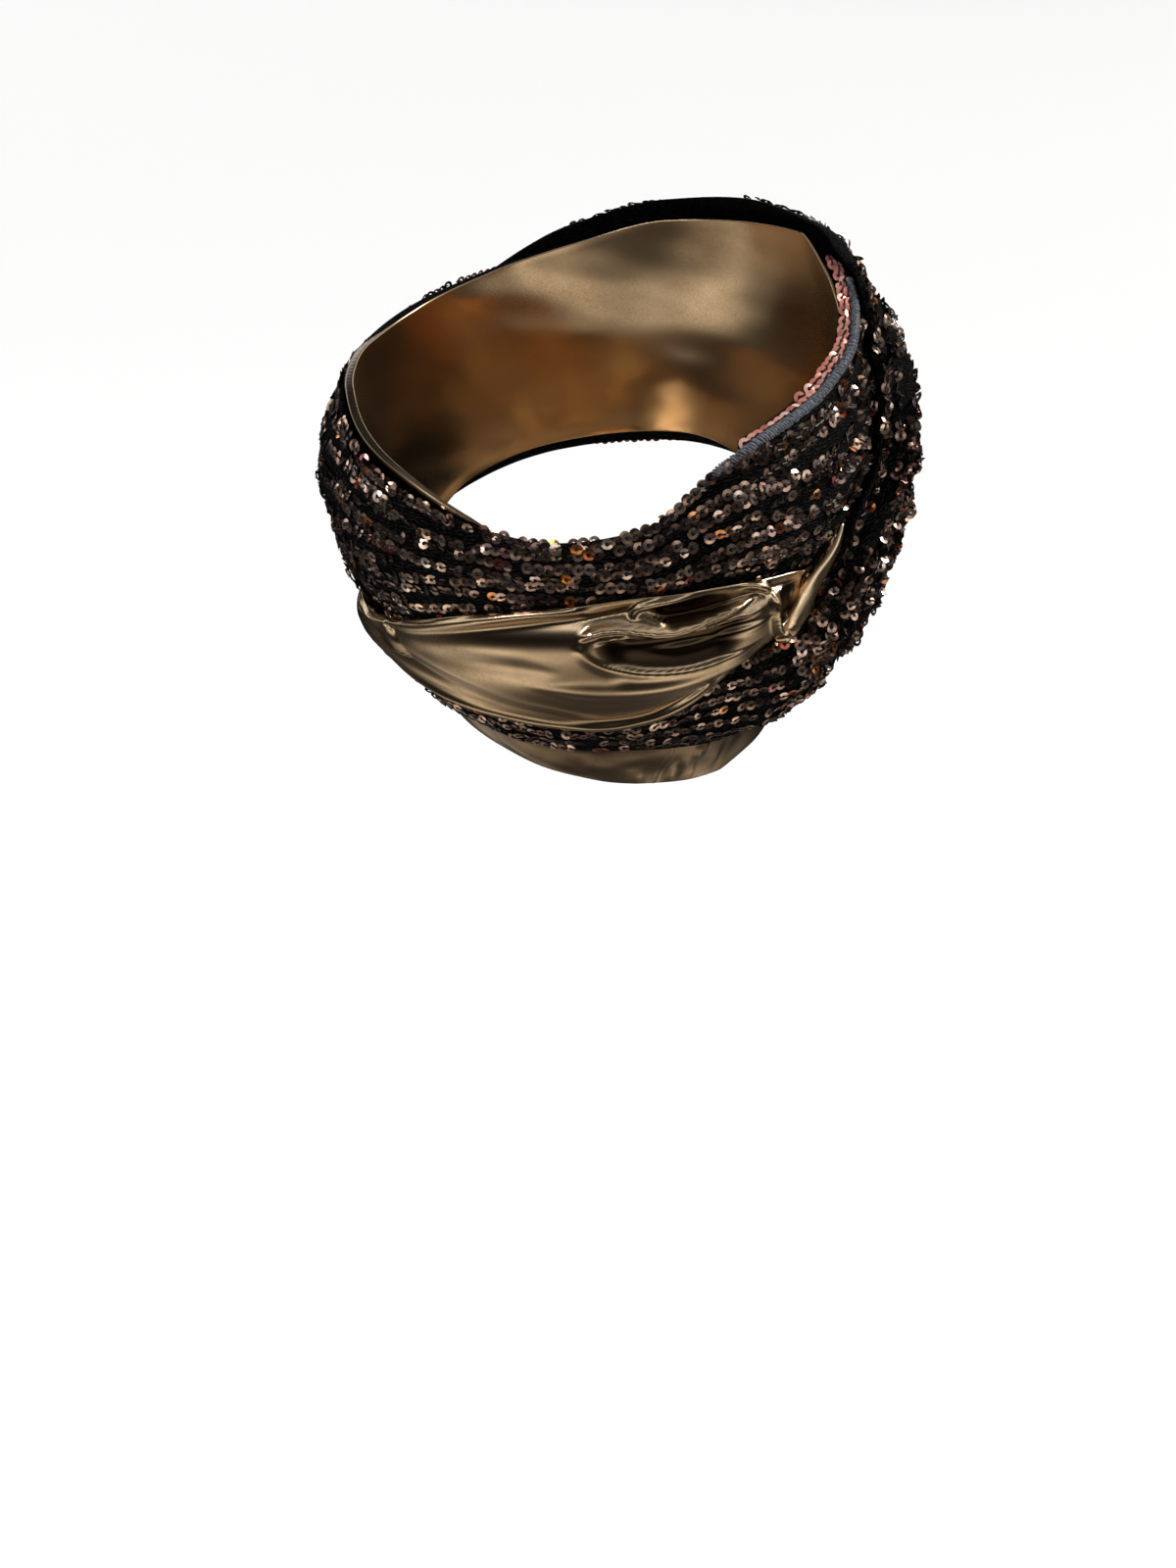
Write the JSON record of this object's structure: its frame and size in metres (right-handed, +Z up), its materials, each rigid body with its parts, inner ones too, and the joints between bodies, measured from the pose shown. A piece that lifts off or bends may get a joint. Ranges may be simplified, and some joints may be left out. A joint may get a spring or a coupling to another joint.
{
  "type": "turban headwrap",
  "caption": "Sequin knit turban headwrap with a gold lame lining turned out in a leaf and a roll over the back, open at the crown, in its worn form.",
  "frame": {"origin": "middle of the hollow that the head fills, level with the dip of the back edge", "axes": "+Z up, the wearer looks along -Y, the wearer's right is -X"},
  "size_m": [0.1888, 0.1995, 0.174],
  "materials": {
    "sequin_knit": "black knit set with small bronze ring sequins",
    "gold_lame": "fine ribbed metallic lame, soft champagne gold sheen",
    "overlock_thread": "matt charcoal overlock thread"
  },
  "bodies": {
    "root": {"lining_band": "gold_lame", "upper_wrap": "sequin_knit", "lower_wrap": "sequin_knit", "gold_leaf": "gold_lame", "gold_roll": "gold_lame", "serged_edge": "overlock_thread", "sequin_facing": "sequin_knit"}
  },
  "joints": []
}
